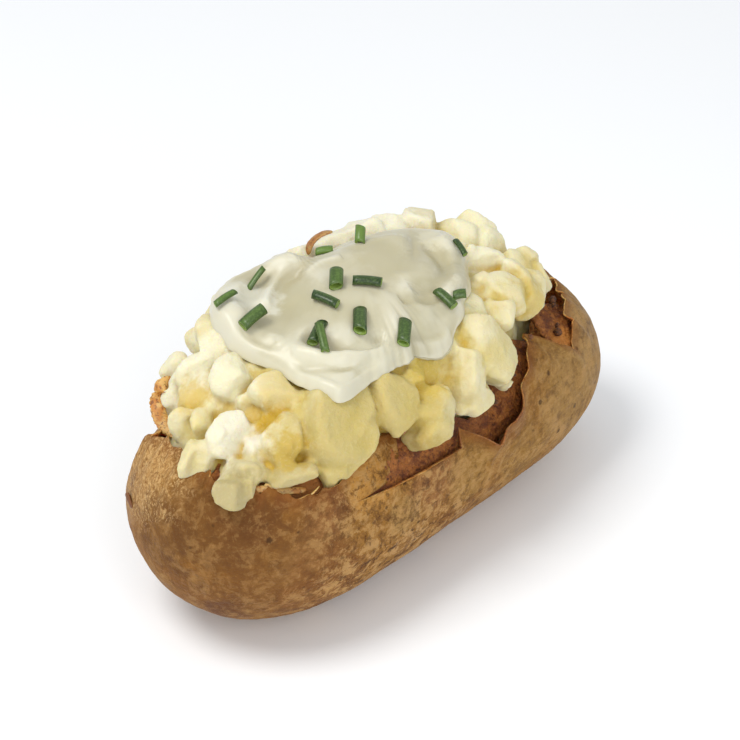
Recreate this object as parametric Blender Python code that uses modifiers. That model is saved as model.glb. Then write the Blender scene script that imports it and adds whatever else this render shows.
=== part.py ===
"""A baked potato, slit along its top, fluffed up and topped with sour cream.

Three solids make the food:
  skin        the baked jacket, a thin shell torn open along the top
  flesh       the fluffy inside, which fills the jacket and heaps up out of it
  sour_cream  one thick dollop, folded on itself, that lies over the heap

X runs along the potato to its narrower end, Z is up, and the origin is the middle
of the small flat spot that it rests on.
"""
import math
import random

import bmesh
import bpy
from mathutils import Matrix, Vector

MM = 0.001
UP = Vector((0, 0, 1))

# The whole potato: an ellipsoid, fuller towards both ends and narrower towards +X.
HALF_LENGTH = 75.0 * MM
HALF_WIDTH = 30.6 * MM
HALF_HEIGHT = 28.8 * MM
TAPER = -0.118
FULLNESS = 0.506
PRESSED = 0.5 * MM  # how far the round underside is flattened where it rests
CENTRE_HEIGHT = HALF_HEIGHT - PRESSED
LEAN = HALF_HEIGHT * TAPER / HALF_LENGTH  # brings the tapered underside level

# The jacket.
SKIN_THICKNESS = 1.5 * MM
CLEARANCE = 1.4 * MM
COLUMNS = 66
CROWDING = 10.3  # degrees by which the columns gather on the two long sides
BAND_ROWS = 4  # rows in the torn band, between its rim and its foot
BODY_ROWS = 10  # rows below the foot of the band
BAND_DEPTH = 16.0  # degrees from the rim to the foot of the band
BEND_ROWS = 5  # rows over which the torn skin bends outwards

# The torn rim, once round the potato: azimuth, angle down from the top, and how far
# the skin has bent outwards there, all in degrees.
RIM = (
    (-180, 59, 0), (-168, 61, 5), (-158, 64, 5), (-150, 61, 10), (-140, 64, 15), (-128, 62, 5),
    (-123, 55, 0), (-117, 49, -5), (-108, 51, -5), (-91, 60, 20), (-84, 73, 40), (-76, 70, 35),
    (-66, 60, 25), (-54, 49, 12), (-49, 48, 5), (-47, 60, 0), (-43, 68, 0), (-36, 60, 5),
    (-28, 56, 5), (-12, 56, 5), (5, 57, 10), (20, 62, 20), (34, 56, 25), (48, 62, 30),
    (60, 57, 35), (66, 32, 60), (76, 29, 65), (82, 58, 35), (96, 61, 40), (108, 56, 35),
    (120, 60, 35), (131, 59, 40), (141, 57, 55), (150, 59, 50), (157, 58, 25), (165, 57, 5),
    (180, 59, 0),
)
# The cleft in the -Y side, with the folded tongue of skin above it, in degrees.
CLEFT_ROOT = -123.0
TONGUE_END = -108.0
CLEFT_END = -91.0
CLEFT_POLAR = 71.0
LIP_OUT = 0.8 * MM  # how far the cleft's lower lip stands out
TONGUE_SINK = 3.4 * MM  # how deep the free end of the tongue is pushed in
NOTCH = -47.0  # azimuth of the steep notch near the narrow end

# The heap of flesh: a rounded block, from which soft lumps stand out.
HEAP_CENTRE = Vector((-3.0, 3.5, 40.0)) * MM
HEAP_RADII = Vector((59.0, 31.5, 29.5)) * MM
HEAP_SQUARENESS = 2.4
HEAP_TUCK = 0.2  # how far the heap's foot draws in on the +Y side, as a share
CORE_INSET = 2.7 * MM
HEAP_INSET = 3.8 * MM  # of the plain block under the lumps
# The large lumps: azimuth and climb on the heap in degrees, width and height in mm,
# tilt in degrees, and how far the middle lies under the heap's surface in mm.
LUMPS = (
    (132, 29, 7, 10, 0, -1), (131, 21, 6, 7, 0, 0), (140, 17, 7, 11, 20, 0), (172, 28, 6, 10, 10, -2),
    (154, 42, 6, 11, 0, 0), (142, 40, 8, 9, 0, 0), (173, 48, 11, 12, 0, -1), (-159, 48, 12, 9, 25, 0),
    (176, 31, 5, 8, -35, -1), (-166, 31, 11, 12, 0, -1), (-144, 32, 13, 12, 0, 2), (-169, 20, 9, 11, 0, -5),
    (-154, 21, 12, 8, 0, -5), (-140, 18, 14, 7, 0, -4), (-155, 15, 9, 8, 0, -10), (-151, 17, 5, 5, 0, -8),
    (-125, 33, 18, 20, 0, 1), (-111, 31, 15, 17, 0, 0), (-128, 14, 8, 9, 0, -3), (-98, 19, 14, 16, -20, 0),
    (-82, 14, 8, 8, -30, 0), (-74, 14, 7, 5, 0, 0), (-73, 31, 13, 18, 10, 0), (-62, 43, 8, 8, 0, 0),
    (-54, 41, 6, 13, 0, -1), (-55, 29, 8, 8, 0, 0), (-44, 18, 9, 9, 0, 0), (-26, 20, 8, 8, 0, 0),
    (-82, 34, 9, 10, 0, 0), (18, 42, 14, 12, 0, -1), (4, 37, 10, 11, 0, -1), (-28, 40, 12, 16, 0, 0),
    (-16, 28, 8, 10, 0, -1), (48, 47, 12, 12, 0, -2), (33, 46, 11, 12, 0, -2), (60, 48, 10, 10, 0, -1),
    (72, 46, 10, 10, 0, -2), (84, 47, 11, 11, 0, -2), (97, 46, 11, 10, 0, -2), (112, 42, 12, 10, 0, -1),
)
FILLERS = 500  # tries at a smaller lump where the heap is still bare
FILLER_SIZE = (7.0 * MM, 12.5 * MM)
FILLER_SPACING = 0.56  # of the two lumps' half sizes, kept between their middles
FILLER_SINK = 0.25  # of a small lump's size, from its middle up to the heap's surface
FLAP_SIDE = (48, 92)  # azimuths on the heap where a tall piece of torn rim stands instead
FLAP_CLIMB = 44
LUMP_PLANES = 11  # flats that give a lump its soft corners
LUMP_SOFTNESS = 7.0
LUMP_REACH = 1.15  # where no flat holds a lump back, in half sizes
FLESH_VOXEL = 1.5 * MM
FINAL_VOXEL = 1.0 * MM
ROOM_VOXEL = 0.8 * MM
FLESH_SHARE = 0.043  # of the merged faces, kept

# The dollop's outline, seen from above, as x and y in mm.
CREAM_OUTLINE = (
    (-34, -21), (-38, -10), (-38, -3), (-41, 8), (-41, 15), (-36, 22), (-27, 26), (-16, 26),
    (-6, 24), (5, 21), (15, 19), (26, 15), (34, 7), (31, 0), (26, -8), (20, -14), (14, -18),
    (8, -21), (0, -23), (-8, -20), (-15, -20), (-24, -20), (-29, -21),
)
CREAM_MIDDLE = Vector((-5.0, 1.0)) * MM
CREAM_DEPTH = 5.5 * MM
CREAM_SEAT = 2.0 * MM  # how far the dollop sinks into the heap
CREAM_SPOKES = 54
CREAM_RINGS = 13
CREAM_UNDER_RINGS = 5
# Soft mounds and hollows of the dollop, in mm: x, y, half-length, half-width, turn in
# degrees, and height.
CREAM_FORMS = (
    (6, 6, 15, 8, -30, 4.5),  # the tall lobe at the back
    (18, -7, 12, 5, 57, 2.2),  # the lobe beside it, towards +X
    (11, -5, 9, 2.6, 45, -2.4),  # the valley between the two
    (-22, 13, 9, 3.5, 28, 2.6),  # the fold towards -X
    (-34, 14, 8, 7, 0, 1.2),  # the spread beyond the fold
    (-16, 1, 13, 7, -20, -2.6),  # the scooped middle
    (-26, -12, 14, 3.5, -38, 2.0),  # the thick front band
    (-32, -16, 10, 2.2, -38, -1.0),  # the crease below the band
    (0, -14, 9, 2.2, -18, -1.2),  # the crease below the valley
)


def blend(start, end, share):
    return start + (end - start) * share


def smooth_step(low, high, value):
    share = min(max((value - low) / (high - low), 0.0), 1.0)
    return share * share * (3 - 2 * share)


def body_point(azimuth, polar, grow=0.0):
    """A point of the whole potato's surface, moved out by grow. Angles in degrees."""
    along = math.sin(math.radians(polar)) * math.cos(math.radians(azimuth))
    across = math.sin(math.radians(polar)) * math.sin(math.radians(azimuth))
    rise = math.cos(math.radians(polar))
    swell = 1 + TAPER * along + FULLNESS * along ** 2
    x = (HALF_LENGTH + grow) * along
    y = (HALF_WIDTH * swell + grow) * across
    z = CENTRE_HEIGHT + (HALF_HEIGHT * swell + grow) * rise + LEAN * x
    return Vector((x, y, z))


def outward(azimuth):
    return Vector((math.cos(math.radians(azimuth)), math.sin(math.radians(azimuth)), 0))


def rim_at(azimuth):
    """The rim's angle from the top and its outward bend, at an azimuth, in degrees."""
    for before, after in zip(RIM, RIM[1:]):
        if azimuth <= after[0]:
            share = (azimuth - before[0]) / (after[0] - before[0])
            return blend(before[1], after[1], share), blend(before[2], after[2], share)


def skin_azimuths():
    """Azimuths of the columns, gathered on the long sides, with one at each tear."""
    azimuths = []
    for column in range(COLUMNS):
        even = -180 + 360 * column / COLUMNS
        azimuths.append(even + CROWDING * math.sin(2 * math.radians(even)))
    for tear in (CLEFT_ROOT, TONGUE_END, CLEFT_END, NOTCH):
        nearest = min(range(COLUMNS), key=lambda column: abs(azimuths[column] - tear))
        azimuths[nearest] = tear
    return azimuths


def skin_column(azimuth):
    """One meridian of the skin's outside, from the torn rim down to the last row."""
    rim, bend = rim_at(azimuth)
    beyond_cleft = max(CLEFT_ROOT - azimuth, azimuth - CLEFT_END, 0.0)
    foot = blend(CLEFT_POLAR, max(rim + BAND_DEPTH, CLEFT_POLAR), smooth_step(0, 8, beyond_cleft))
    foot = max(foot, rim + 5.0)
    polars = [blend(rim, foot, row / BAND_ROWS) for row in range(BAND_ROWS)]
    polars += [blend(foot, 180.0, row / BODY_ROWS) for row in range(BODY_ROWS)]
    flat = [body_point(azimuth, polar) for polar in polars]
    hinge = UP.cross(outward(azimuth))
    bent = list(flat)
    for row in range(BEND_ROWS - 1, -1, -1):
        turn = Matrix.Rotation(math.radians(bend) * (1 - row / BEND_ROWS), 3, hinge)
        bent[row] = bent[row + 1] + turn @ (flat[row] - flat[row + 1])
    for point in bent:
        point.z = max(point.z, 0.0)
    return bent


def build_skin_sheet():
    """The outside of the jacket, open at the rim and split along the cleft."""
    bm = bmesh.new()
    azimuths = skin_azimuths()
    columns = [[bm.verts.new(p) for p in skin_column(a)] for a in azimuths]
    bottom = bm.verts.new((0, 0, 0))
    tongue_foot = {}
    for index, azimuth in enumerate(azimuths):
        if CLEFT_ROOT < azimuth <= TONGUE_END:
            slack = (azimuth - CLEFT_ROOT) / (TONGUE_END - CLEFT_ROOT)
            sink = outward(azimuth) * TONGUE_SINK * smooth_step(0, 0.8, slack)
            tongue_foot[index] = bm.verts.new(columns[index][BAND_ROWS].co - sink)
            for row in range(BAND_ROWS):
                columns[index][row].co -= sink * blend(0.6, 1.0, row / BAND_ROWS)
        if CLEFT_ROOT < azimuth < CLEFT_END:
            columns[index][BAND_ROWS].co += outward(azimuth) * LIP_OUT
    for index, azimuth in enumerate(azimuths):
        following = (index + 1) % COLUMNS
        middle = (azimuth + azimuths[following] + (360 if following == 0 else 0)) / 2
        left, right = columns[index], columns[following]
        for row in range(len(left) - 1):
            lower_left, lower_right = left[row + 1], right[row + 1]
            if row < BAND_ROWS and TONGUE_END < middle < CLEFT_END:
                continue
            if row == BAND_ROWS - 1 and CLEFT_ROOT < middle < TONGUE_END:
                lower_left = tongue_foot.get(index, lower_left)
                lower_right = tongue_foot.get(following, lower_right)
            bm.faces.new((left[row], lower_left, lower_right, right[row]))
        bm.faces.new((left[-1], bottom, right[-1]))
    loose = [vert for vert in bm.verts if not vert.link_faces]
    bmesh.ops.delete(bm, geom=loose, context="VERTS")
    return bm


def heap_point(azimuth, climb, grow=0.0):
    """A point of the heap's smooth surface and its normal. Angles in degrees."""
    level = math.cos(math.radians(climb))
    way = Vector((level * math.cos(math.radians(azimuth)), level * math.sin(math.radians(azimuth)),
                  math.sin(math.radians(climb))))
    reach = sum(abs(part) ** HEAP_SQUARENESS for part in way) ** (-1 / HEAP_SQUARENESS)
    radii = HEAP_RADII + Vector((grow, grow, grow))
    offset = Vector(radii[i] * way[i] * reach for i in range(3))
    if offset.y > 0:
        offset.y *= 1 - HEAP_TUCK * smooth_step(-0.7, -0.4, way.x) * (1 - way.z) ** 2
    slope = Vector(math.copysign(abs(way[i]) ** (HEAP_SQUARENESS - 1), way[i]) / radii[i]
                   for i in range(3))
    return HEAP_CENTRE + offset, slope.normalized()


def heap_height(x, y):
    """Height of the heap's smooth surface above a point of the plan."""
    used = (abs((x - HEAP_CENTRE.x) / HEAP_RADII.x) ** HEAP_SQUARENESS
            + abs((y - HEAP_CENTRE.y) / HEAP_RADII.y) ** HEAP_SQUARENESS)
    return HEAP_CENTRE.z + HEAP_RADII.z * max(1 - used, 0.02) ** (1 / HEAP_SQUARENESS)


def add_lump(bm, chance, centre, frame, size):
    """One soft-cornered lump: an icosphere drawn in to a few random flats."""
    flats = []
    for _ in range(LUMP_PLANES):
        facing = Vector(chance.gauss(0, 1) for _ in range(3)).normalized()
        flats.append((facing, chance.uniform(0.8, 1.1)))
    ball = bmesh.ops.create_icosphere(bm, subdivisions=2, radius=1.0)["verts"]
    for vert in ball:
        way = vert.co.normalized()
        pull = sum((max(way.dot(facing), 0.0) / reach) ** LUMP_SOFTNESS for facing, reach in flats)
        reach = min(max(pull, 0.1) ** (-1 / LUMP_SOFTNESS), LUMP_REACH)
        vert.co = centre + frame @ Vector(way[i] * reach * size[i] / 2 for i in range(3))


def lump_frame(normal, tilt):
    """Axes of a lump on the heap: across, up along the surface, and outwards."""
    across = UP.cross(normal).normalized()
    along = normal.cross(across)
    frame = Matrix((across, along, normal)).transposed()
    return frame @ Matrix.Rotation(math.radians(tilt), 3, "Z")


def build_flesh():
    """The filling inside the jacket, the heap above it and the lumps on the heap."""
    chance = random.Random(7)
    bm = bmesh.new()
    core = bmesh.ops.create_uvsphere(bm, u_segments=48, v_segments=24, radius=1.0)["verts"]
    for vert in core:
        azimuth = math.degrees(math.atan2(vert.co.y, vert.co.x))
        polar = math.degrees(math.acos(max(min(vert.co.z, 1.0), -1.0)))
        vert.co = body_point(azimuth, polar, -CORE_INSET)
    heap = bmesh.ops.create_uvsphere(bm, u_segments=48, v_segments=24, radius=1.0)["verts"]
    for vert in heap:
        azimuth = math.degrees(math.atan2(vert.co.y, vert.co.x))
        climb = math.degrees(math.asin(max(min(vert.co.z, 1.0), -1.0)))
        vert.co = heap_point(azimuth, max(climb, -20.0), -HEAP_INSET)[0]
    taken = []
    for azimuth, climb, width, height, tilt, depth in LUMPS:
        point, normal = heap_point(azimuth, climb)
        size = (width * MM, height * MM, (width + height) * 0.42 * MM)
        centre = point - normal * depth * MM
        add_lump(bm, chance, centre, lump_frame(normal, tilt), size)
        taken.append((point, max(size) / 2))
    for _ in range(FILLERS):
        azimuth = chance.uniform(-180, 180)
        climb = math.degrees(math.asin(chance.uniform(0.3, 0.97)))
        if FLAP_SIDE[0] < azimuth < FLAP_SIDE[1] and climb < FLAP_CLIMB:
            continue
        point, normal = heap_point(azimuth, climb)
        size = [chance.uniform(*FILLER_SIZE) for _ in range(3)]
        reach = max(size) / 2
        if any((point - other).length < (reach + far) * FILLER_SPACING for other, far in taken):
            continue
        centre = point - normal * size[2] * FILLER_SINK
        add_lump(bm, chance, centre, lump_frame(normal, chance.uniform(-60, 60)), size)
        taken.append((point, reach))
    return bm


def cream_radius(turn):
    """Distance from the dollop's middle to its outline, in a direction of the plan."""
    angles = []
    for x, y in CREAM_OUTLINE:
        step = Vector((x, y)) * MM - CREAM_MIDDLE
        angles.append((math.atan2(step.y, step.x) % math.tau, step.length))
    angles.sort()
    wrapped = [(angles[-1][0] - math.tau, angles[-1][1])] + angles
    wrapped.append((angles[0][0] + math.tau, angles[0][1]))
    for before, after in zip(wrapped, wrapped[1:]):
        if turn <= after[0]:
            share = (turn - before[0]) / (after[0] - before[0])
            return blend(before[1], after[1], share)


def cream_relief(x, y):
    total = 0.0
    for middle_x, middle_y, half_length, half_width, turn, height in CREAM_FORMS:
        cosine, sine = math.cos(math.radians(turn)), math.sin(math.radians(turn))
        step_x, step_y = x / MM - middle_x, y / MM - middle_y
        along = (step_x * cosine + step_y * sine) / half_length
        beside = (step_y * cosine - step_x * sine) / half_width
        total += height * math.exp(-along ** 2 - beside ** 2)
    return total * MM


def cream_height(x, y, out, over_top):
    """Height of the dollop's top or underside; out runs from 0 to 1 at its edge."""
    edge = heap_height(x, y)
    rounding = (1 - out ** 4) ** 0.5
    if over_top:
        return edge + rounding * (CREAM_DEPTH + cream_relief(x, y))
    return edge - rounding * CREAM_SEAT


def cream_ring(bm, out, over_top):
    verts = []
    for spoke in range(CREAM_SPOKES):
        turn = math.tau * spoke / CREAM_SPOKES
        x = CREAM_MIDDLE.x + cream_radius(turn) * out * math.cos(turn)
        y = CREAM_MIDDLE.y + cream_radius(turn) * out * math.sin(turn)
        verts.append(bm.verts.new((x, y, cream_height(x, y, out, over_top))))
    return verts


def build_cream():
    """The dollop: rings from the middle out over the top, then back underneath."""
    bm = bmesh.new()
    rings = []
    for ring in range(1, CREAM_RINGS + 1):
        rings.append(cream_ring(bm, math.sin(math.pi / 2 * ring / CREAM_RINGS), True))
    for ring in range(CREAM_UNDER_RINGS - 1, 0, -1):
        rings.append(cream_ring(bm, math.sin(math.pi / 2 * ring / CREAM_UNDER_RINGS), False))
    x, y = CREAM_MIDDLE
    top = bm.verts.new((x, y, cream_height(x, y, 0, True)))
    under = bm.verts.new((x, y, cream_height(x, y, 0, False)))
    for spoke in range(CREAM_SPOKES):
        after = (spoke + 1) % CREAM_SPOKES
        bm.faces.new((top, rings[0][spoke], rings[0][after]))
        bm.faces.new((rings[-1][spoke], under, rings[-1][after]))
        for inner, outer in zip(rings, rings[1:]):
            bm.faces.new((inner[spoke], outer[spoke], outer[after], inner[after]))
    return bm


def food_material(name, colour, roughness):
    material = bpy.data.materials.new(name)
    material.use_nodes = True
    shader = material.node_tree.nodes["Principled BSDF"]
    shader.inputs["Base Color"].default_value = (*colour, 1)
    shader.inputs["Roughness"].default_value = roughness
    return material


def add_object(name, bm, collection, material=None):
    mesh = bpy.data.meshes.new(name)
    bmesh.ops.recalc_face_normals(bm, faces=bm.faces)
    bm.to_mesh(mesh)
    bm.free()
    mesh.shade_smooth()
    thing = bpy.data.objects.new(name, mesh)
    collection.objects.link(thing)
    if material:
        mesh.materials.append(material)
    else:
        thing.hide_render = True
        thing.display_type = "WIRE"
    return thing


def thicken(sheet, thickness):
    shell = sheet.modifiers.new("thickness", "SOLIDIFY")
    shell.thickness = thickness
    shell.offset = -1


def merge_shapes(thing, voxel_size):
    merge = thing.modifiers.new("merge", "REMESH")
    merge.mode = "VOXEL"
    merge.voxel_size = voxel_size


def swell(thing, distance):
    outwards = thing.modifiers.new("outwards", "DISPLACE")
    outwards.strength = distance
    outwards.mid_level = 0


def cut(target, cutter):
    difference = target.modifiers.new("clear_of_" + cutter.name, "BOOLEAN")
    difference.operation = "DIFFERENCE"
    difference.object = cutter
    difference.solver = "MANIFOLD"  # the swollen cutters pass through themselves


def thin_out(thing, share):
    thin = thing.modifiers.new("thin", "DECIMATE")
    thin.ratio = share


def keep_largest_body(thing):
    """Applies the modifiers and drops any crumb that a cut has set loose."""
    depsgraph = bpy.context.evaluated_depsgraph_get()
    mesh = bpy.data.meshes.new_from_object(thing.evaluated_get(depsgraph))
    bm = bmesh.new()
    bm.from_mesh(mesh)
    bmesh.ops.dissolve_degenerate(bm, dist=0.02 * MM, edges=bm.edges)
    bmesh.ops.triangulate(bm, faces=bm.faces)
    seen, bodies = set(), []
    for start in bm.verts:
        if start in seen:
            continue
        body, waiting = [], [start]
        seen.add(start)
        while waiting:
            vert = waiting.pop()
            body.append(vert)
            for edge in vert.link_edges:
                other = edge.other_vert(vert)
                if other not in seen:
                    seen.add(other)
                    waiting.append(other)
        bodies.append(body)
    bodies.sort(key=len)
    crumbs = [vert for body in bodies[:-1] for vert in body]
    bmesh.ops.delete(bm, geom=crumbs, context="VERTS")
    bm.to_mesh(mesh)
    bm.free()
    thing.modifiers.clear()
    thing.data = mesh


def main():
    for thing in list(bpy.data.objects):
        bpy.data.objects.remove(thing)
    potato = bpy.data.collections.new("baked_potato")
    cutters = bpy.data.collections.new("cutters")
    bpy.context.scene.collection.children.link(potato)
    bpy.context.scene.collection.children.link(cutters)

    jacket = food_material("baked_skin", (0.30, 0.16, 0.06), 0.6)
    skin = add_object("skin", build_skin_sheet(), potato, jacket)
    thicken(skin, SKIN_THICKNESS)

    white = food_material("soured_cream", (0.85, 0.83, 0.74), 0.3)
    cream = add_object("sour_cream", build_cream(), potato, white)

    skin_room = add_object("skin_room", build_skin_sheet(), cutters)
    thicken(skin_room, SKIN_THICKNESS)
    merge_shapes(skin_room, ROOM_VOXEL)
    swell(skin_room, CLEARANCE)
    cream_room = add_object("cream_room", build_cream(), cutters)
    swell(cream_room, CLEARANCE)

    mash = food_material("fluffy_flesh", (0.85, 0.76, 0.42), 0.7)
    flesh = add_object("flesh", build_flesh(), potato, mash)
    merge_shapes(flesh, FLESH_VOXEL)
    cut(flesh, skin_room)
    cut(flesh, cream_room)
    merge_shapes(flesh, FINAL_VOXEL)
    thin_out(flesh, FLESH_SHARE)
    keep_largest_body(flesh)


main()
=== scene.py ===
"""The looks of the baked potato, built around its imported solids.

The jacket, the flesh and the sour cream are rebuilt here from the same rules as the
solids, with far finer surfaces. What is too thin or too small for a solid is added:
the browned flesh under the torn skin, peeled film, chives, crumbs and burnt flecks.
Lengths below are in mm and angles in degrees; the scene itself is in metres.
"""
import math
import random

import bmesh
import bpy
import numpy as np
from mathutils import Matrix, Vector
from mathutils.bvhtree import BVHTree


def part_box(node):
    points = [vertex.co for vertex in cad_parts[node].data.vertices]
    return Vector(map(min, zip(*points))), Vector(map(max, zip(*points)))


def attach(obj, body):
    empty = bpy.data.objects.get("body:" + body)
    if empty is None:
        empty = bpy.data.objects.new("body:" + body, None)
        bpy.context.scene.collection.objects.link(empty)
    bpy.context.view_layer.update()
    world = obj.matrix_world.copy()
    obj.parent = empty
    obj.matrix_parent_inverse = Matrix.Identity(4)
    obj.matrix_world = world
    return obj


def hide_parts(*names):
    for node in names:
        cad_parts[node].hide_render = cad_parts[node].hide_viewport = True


MM = 0.001
UP = Vector((0, 0, 1))

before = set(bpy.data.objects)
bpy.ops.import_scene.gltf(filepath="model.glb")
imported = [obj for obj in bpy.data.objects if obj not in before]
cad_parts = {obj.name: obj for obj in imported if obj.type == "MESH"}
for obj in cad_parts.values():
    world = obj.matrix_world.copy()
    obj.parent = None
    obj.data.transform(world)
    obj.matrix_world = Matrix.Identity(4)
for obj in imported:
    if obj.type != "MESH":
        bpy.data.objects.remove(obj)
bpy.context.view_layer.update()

# ---------------------------------------------------------------- the potato's body
skin_low, skin_high = (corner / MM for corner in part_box("skin"))
HALF_LENGTH = (skin_high.x - skin_low.x) / 2 + 0.2
HALF_WIDTH = 30.6
HALF_HEIGHT = 28.8
TAPER = -0.118  # how much slimmer the +X end is
FULLNESS = 0.506  # how much fuller both ends are than an ellipsoid's
CENTRE_HEIGHT = HALF_HEIGHT - 0.5
LEAN = HALF_HEIGHT * TAPER / HALF_LENGTH  # keeps the underside level

# The torn rim: azimuth, angle down from the top, outward bend.
RIM = np.array((
    (-180, 59, 0), (-168, 61, 5), (-158, 64, 5), (-150, 61, 10), (-140, 64, 15), (-128, 62, 5),
    (-123, 55, 0), (-117, 49, -5), (-108, 51, -5), (-91, 60, 20), (-84, 73, 40), (-77, 70, 32),
    (-69, 60, 22), (-61, 53, 14), (-54, 47, 10), (-49, 45, 5), (-47, 60, 0), (-43, 68, 0), (-36, 60, 5),
    (-28, 56, 5), (-12, 56, 5), (5, 57, 10), (20, 62, 20), (34, 56, 25), (48, 62, 30),
    (60, 57, 35), (66, 32, 60), (76, 29, 65), (82, 58, 35), (96, 61, 40), (108, 56, 35),
    (118, 61, 25), (126, 58, 0), (133, 55, -22), (141, 56, -22), (147, 61, -8), (152, 64, 4),
    (157, 62, 10), (165, 58, 5), (180, 59, 0),
))
# The cleft on the -Y side: a tongue of skin on its left part, browned flesh on its right.
CLEFT_ROOT = -123.0
TONGUE_END = -108.0
CLEFT_END = -91.0
CLEFT_POLAR = 71.0  # its foot, as an angle down from the top
TONGUE_SINK = 2.0
LIP_OUT = 0.8  # how far the lip under the cleft stands out
LIP_ROWS = 5
NOTCH = -47.0  # a tear in the rim with one sheer side

SKIN_THICKNESS = 0.9
RIM_THINNING = 0.45  # thickness of the torn rim, as a share of the skin's
# The grid of the skin: columns, crowded along the two long sides, and rows in two parts,
# a finer band under the rim and the body down to the bottom.
COLUMNS = 460
CROWDING = 10.3
BAND_DEPTH = 16.0
BAND_ROWS = 26
BODY_ROWS = 66
BEND_REACH = 1.25  # in band depths, from the rim down to where the skin stops bending

# Places on the skin that stand out, partly the skin's own pale and dark patches and partly painted light
# and shade, paler on the lit upper shoulder of the -X end and darker on that end's shaded -Y flank: x, y,
# z, radius, colour, strength.
SKIN_TONES_AND_PAINTED_LIGHT = (
    (-66, 14, 50, 14, (212, 164, 100), 0.95), (-74, 0, 36, 10, (116, 76, 36), 0.7),
    (-56, 27, 53, 7, (216, 152, 66), 0.8), (-71, 17, 40, 9, (184, 138, 84), 0.6),
    (-69, -12, 43, 13, (108, 68, 30), 0.75), (-63, -20, 44, 8, (104, 62, 26), 0.7),
    (-42, -29, 42, 5, (104, 66, 34), 0.6), (-50, -29, 37, 7, (172, 124, 72), 0.6),
    (-57, -27, 32, 6, (170, 124, 72), 0.4), (-47, -28, 43, 6, (150, 98, 56), 0.6),
    (-24, -31, 31, 6, (182, 144, 84), 0.7), (-12, -31, 35, 9, (160, 108, 66), 0.55),
    (1, -31, 30, 9, (168, 130, 68), 0.6), (-67, -13, 16, 7, (96, 52, 30), 0.7),
    (-56, -20, 28, 20, (118, 76, 36), 0.55),
    (-50, -29, 23, 12, (140, 88, 38), 0.6), (22, -29, 24, 10, (168, 128, 62), 0.6),
    (46, -26, 31, 16, (172, 136, 80), 0.6), (60, -15, 34, 14, (184, 148, 96), 0.6),
    (-33, -28, 44, 8, (204, 148, 72), 0.8),
)
BROWNED_PATCHES = (
    (50, -20, 40.5, 5, (224, 146, 62), 0.8), (-52, -23, 48, 10, (190, 124, 58), 0.7),
    (8, -27, 45, 9, (150, 88, 46), 0.5),
)
DIP = (8, -31, 38)  # the low place of the rim, with a browner edge
SHOULDER = (-66, 12, 49)  # where the skin is finely crinkled, its pale crinkles partly painted highlight of the lit shoulder
SKIN_DOTS = (
    (-62, -23, 40, 0.9), (30, -28, 35, 0.8), (45, -27, 26, 0.8), (26, -30, 29, 0.7), (36, -26, 40, 0.8),
    (-23, -30, 39, 0.6), (-19, -31, 26, 0.6), (-36, -30, 41, 0.6), (52, -22, 38, 0.7), (38, -28, 22, 0.7),
    (-56, -27, 41, 0.5), (-30, -31, 36, 0.5),
)

# ---------------------------------------------------------------- the heap of flesh
HEAP_CENTRE = np.array((-3.0, 3.5, 40.0))
HEAP_RADII = np.array((59.0, 31.5, 29.5))
HEAP_SQUARENESS = 2.4  # 2 is an ellipsoid, more is boxier
HEAP_TUCK = 0.2  # how much the heap draws in low on its +Y side
HEAP_INSET = 2.0  # how far the heap's surface lies under its chunks
TONGUE_SPACE = 3.5  # how far the heap stands back behind the tongue of skin
SHELF_SPACE = 6.0  # and behind the high rim beside the notch
CREAM_BED = 1.2  # how much fuller the heap is under the cream
# Chunks that stand out: azimuth, climb, width, height, thickness, tilt, depth in the heap.
CHUNKS = (
    # the -X end
    (134, 28, 6, 8, 8, 0, -1.5), (141, 33, 8, 10, 9, 0, 2), (150, 42, 6, 13, 9, 0, 0.5),
    (143, 20, 5, 10, 8, -10, 1.5),
    (174, 48, 10, 12, 11, 0, 0.5), (-157, 48, 12, 9, 10, -25, 0), (168, 28, 5, 9, 8, 0, -1),
    (178, 32, 4, 8, 7, 35, 0), (-174, 21, 5, 9, 10, 0, -4.5), (-170, 21, 6, 10, 10, 0, -2.5),
    (-166, 31, 8, 12, 10, 0, -2), (-144, 30, 10, 12, 9, 0, -0.5), (-153, 27, 5, 7, 7, 0, -0.5),
    (-154, 21, 12, 5, 12, 0, -3), (-139, 19, 13, 5, 11, 5, -3), (-156, 15, 8, 7, 13, 0, -8),
    (-151, 16, 3, 5, 9, 0, -6),
    # the broad block in front, over the tongue of skin
    (-129, 35, 17, 19, 15, 0, 1), (-120, 34, 12, 14, 12, -20, 1.5), (-121, 21, 14, 8, 11, 45, 0.5),
    (-127, 19, 9, 9, 10, 0, -0.5), (-129, 13, 4, 6, 8, 0, -1), (-108, 35, 13, 14, 12, 0, 2.5),
    (-108, 24, 5, 5, 6, 30, 0.5),
    # between the tongue and the low place of the rim
    (-96, 20, 12, 12, 13, 12, 1), (-99, 14, 10, 9, 11, 20, 0), (-82, 26, 8, 16, 11, -12, 1),
    (-71, 30, 11, 20, 12, 8, 1), (-81, 14, 8, 7, 7, -30, 0),
    # the +X end
    (-58, 38, 8, 10, 9, 0, 0.5), (-41, 31, 9, 9, 9, 20, 1), (-30, 27, 9, 9, 8, 0, 1),
    (-45, 42, 10, 12, 10, 15, 0), (-18, 49, 8, 14, 9, 0, 0.5),
    (-14, 30, 10, 14, 10, 0, 2), (-34, 38, 8, 12, 9, -10, 0), (-22, 24, 7, 9, 8, 0, -0.5),
    (18, 42, 14, 12, 11, 0, -0.5), (4, 37, 10, 11, 10, 0, -0.5), (13, 38, 10, 8, 11, 0, -3),
    (-12, 30, 7, 7, 8, 0, -2),
    # small ones on the +Y side
    (120, 38, 12, 10, 10, 0, -0.5), (125, 34, 6, 8, 9, 0, -0.5), (106, 58, 11, 11, 9, 0, -2.5),
)
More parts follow.
